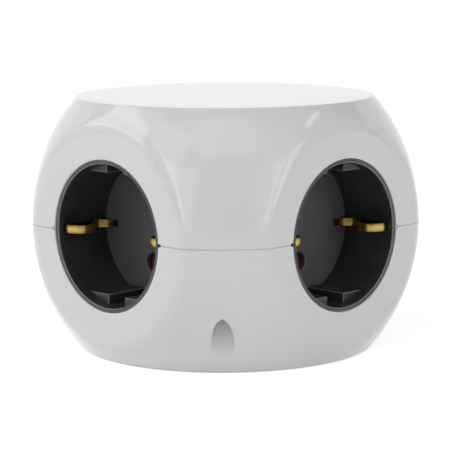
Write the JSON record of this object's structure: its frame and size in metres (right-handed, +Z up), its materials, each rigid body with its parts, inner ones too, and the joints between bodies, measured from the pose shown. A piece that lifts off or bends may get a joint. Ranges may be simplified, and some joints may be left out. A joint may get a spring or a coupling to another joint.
{
  "type": "cube power strip with usb",
  "caption": "Ball-like power strip with flattened sides, recessed earthed sockets with shutters, and a plate with charging ports and a cord inlet.",
  "frame": {"origin": "centre of the flat underside", "axes": "+Z up; the sockets face -Y, -X and +Y, and the plate with the charging ports faces +X"},
  "size_m": [0.093, 0.093, 0.0716],
  "materials": {
    "housing": "glossy moulded white",
    "insert": "satin charcoal",
    "shutter": "satin dark red",
    "carrier": "plain moulded",
    "brass": "rolled strip",
    "spring_steel": "drawn wire",
    "screw_steel": "zinc plated",
    "port_metal": "nickel plated",
    "contact_metal": "plated strip",
    "tongue": "satin black",
    "board": "solder mask",
    "transformer": "taped winding",
    "capacitor": "sleeved can",
    "live_insulation": "brown insulation",
    "neutral_insulation": "blue insulation"
  },
  "bodies": {
    "housing": {"clamp_screws": "screw_steel", "contact_carrier": "carrier", "cord_clamp": "insert", "earth_clip_front": "brass", "earth_clip_left": "brass", "earth_clip_rear": "brass", "earth_link": "brass", "housing_screws": "screw_steel", "live_busbar": "brass", "live_lead": "live_insulation", "lower_shell": "housing", "neutral_busbar": "brass", "neutral_lead": "neutral_insulation", "shutter_spring_front": "spring_steel", "shutter_spring_left": "spring_steel", "shutter_spring_rear": "spring_steel", "socket_cup_front": "insert", "socket_cup_left": "insert", "socket_cup_rear": "insert", "upper_shell": "housing", "usb_board": "board", "usb_contacts_left": "contact_metal", "usb_contacts_right": "contact_metal", "usb_plate": "insert", "usb_port_left": "port_metal", "usb_port_right": "port_metal", "usb_reservoir_capacitor": "capacitor", "usb_smoothing_capacitor": "capacitor", "usb_tongue_left": "tongue", "usb_tongue_right": "tongue", "usb_transformer": "transformer"},
    "shutter_front": {"shutter_front": "shutter"},
    "shutter_left": {"shutter_left": "shutter"},
    "shutter_rear": {"shutter_rear": "shutter"}
  },
  "joints": [
    {"name": "shutter_front_turn", "type": "hinge", "parent": "housing", "child": "shutter_front", "pos_m": [0, -0.02525, 0.0358], "axis": [0, -1, 0], "range_deg": [0, 38], "stiffness_Nm_per_rad": 0.0008, "springref_deg": -11.46, "deforming": ["shutter_spring_front"]},
    {"name": "shutter_left_turn", "type": "hinge", "parent": "housing", "child": "shutter_left", "pos_m": [-0.02525, 0, 0.0358], "axis": [-1, 0, 0], "range_deg": [0, 38], "stiffness_Nm_per_rad": 0.0008, "springref_deg": -11.46, "deforming": ["shutter_spring_left"]},
    {"name": "shutter_rear_turn", "type": "hinge", "parent": "housing", "child": "shutter_rear", "pos_m": [0, 0.02525, 0.0358], "axis": [0, 1, 0], "range_deg": [0, 38], "stiffness_Nm_per_rad": 0.0008, "springref_deg": -11.46, "deforming": ["shutter_spring_rear"]}
  ]
}
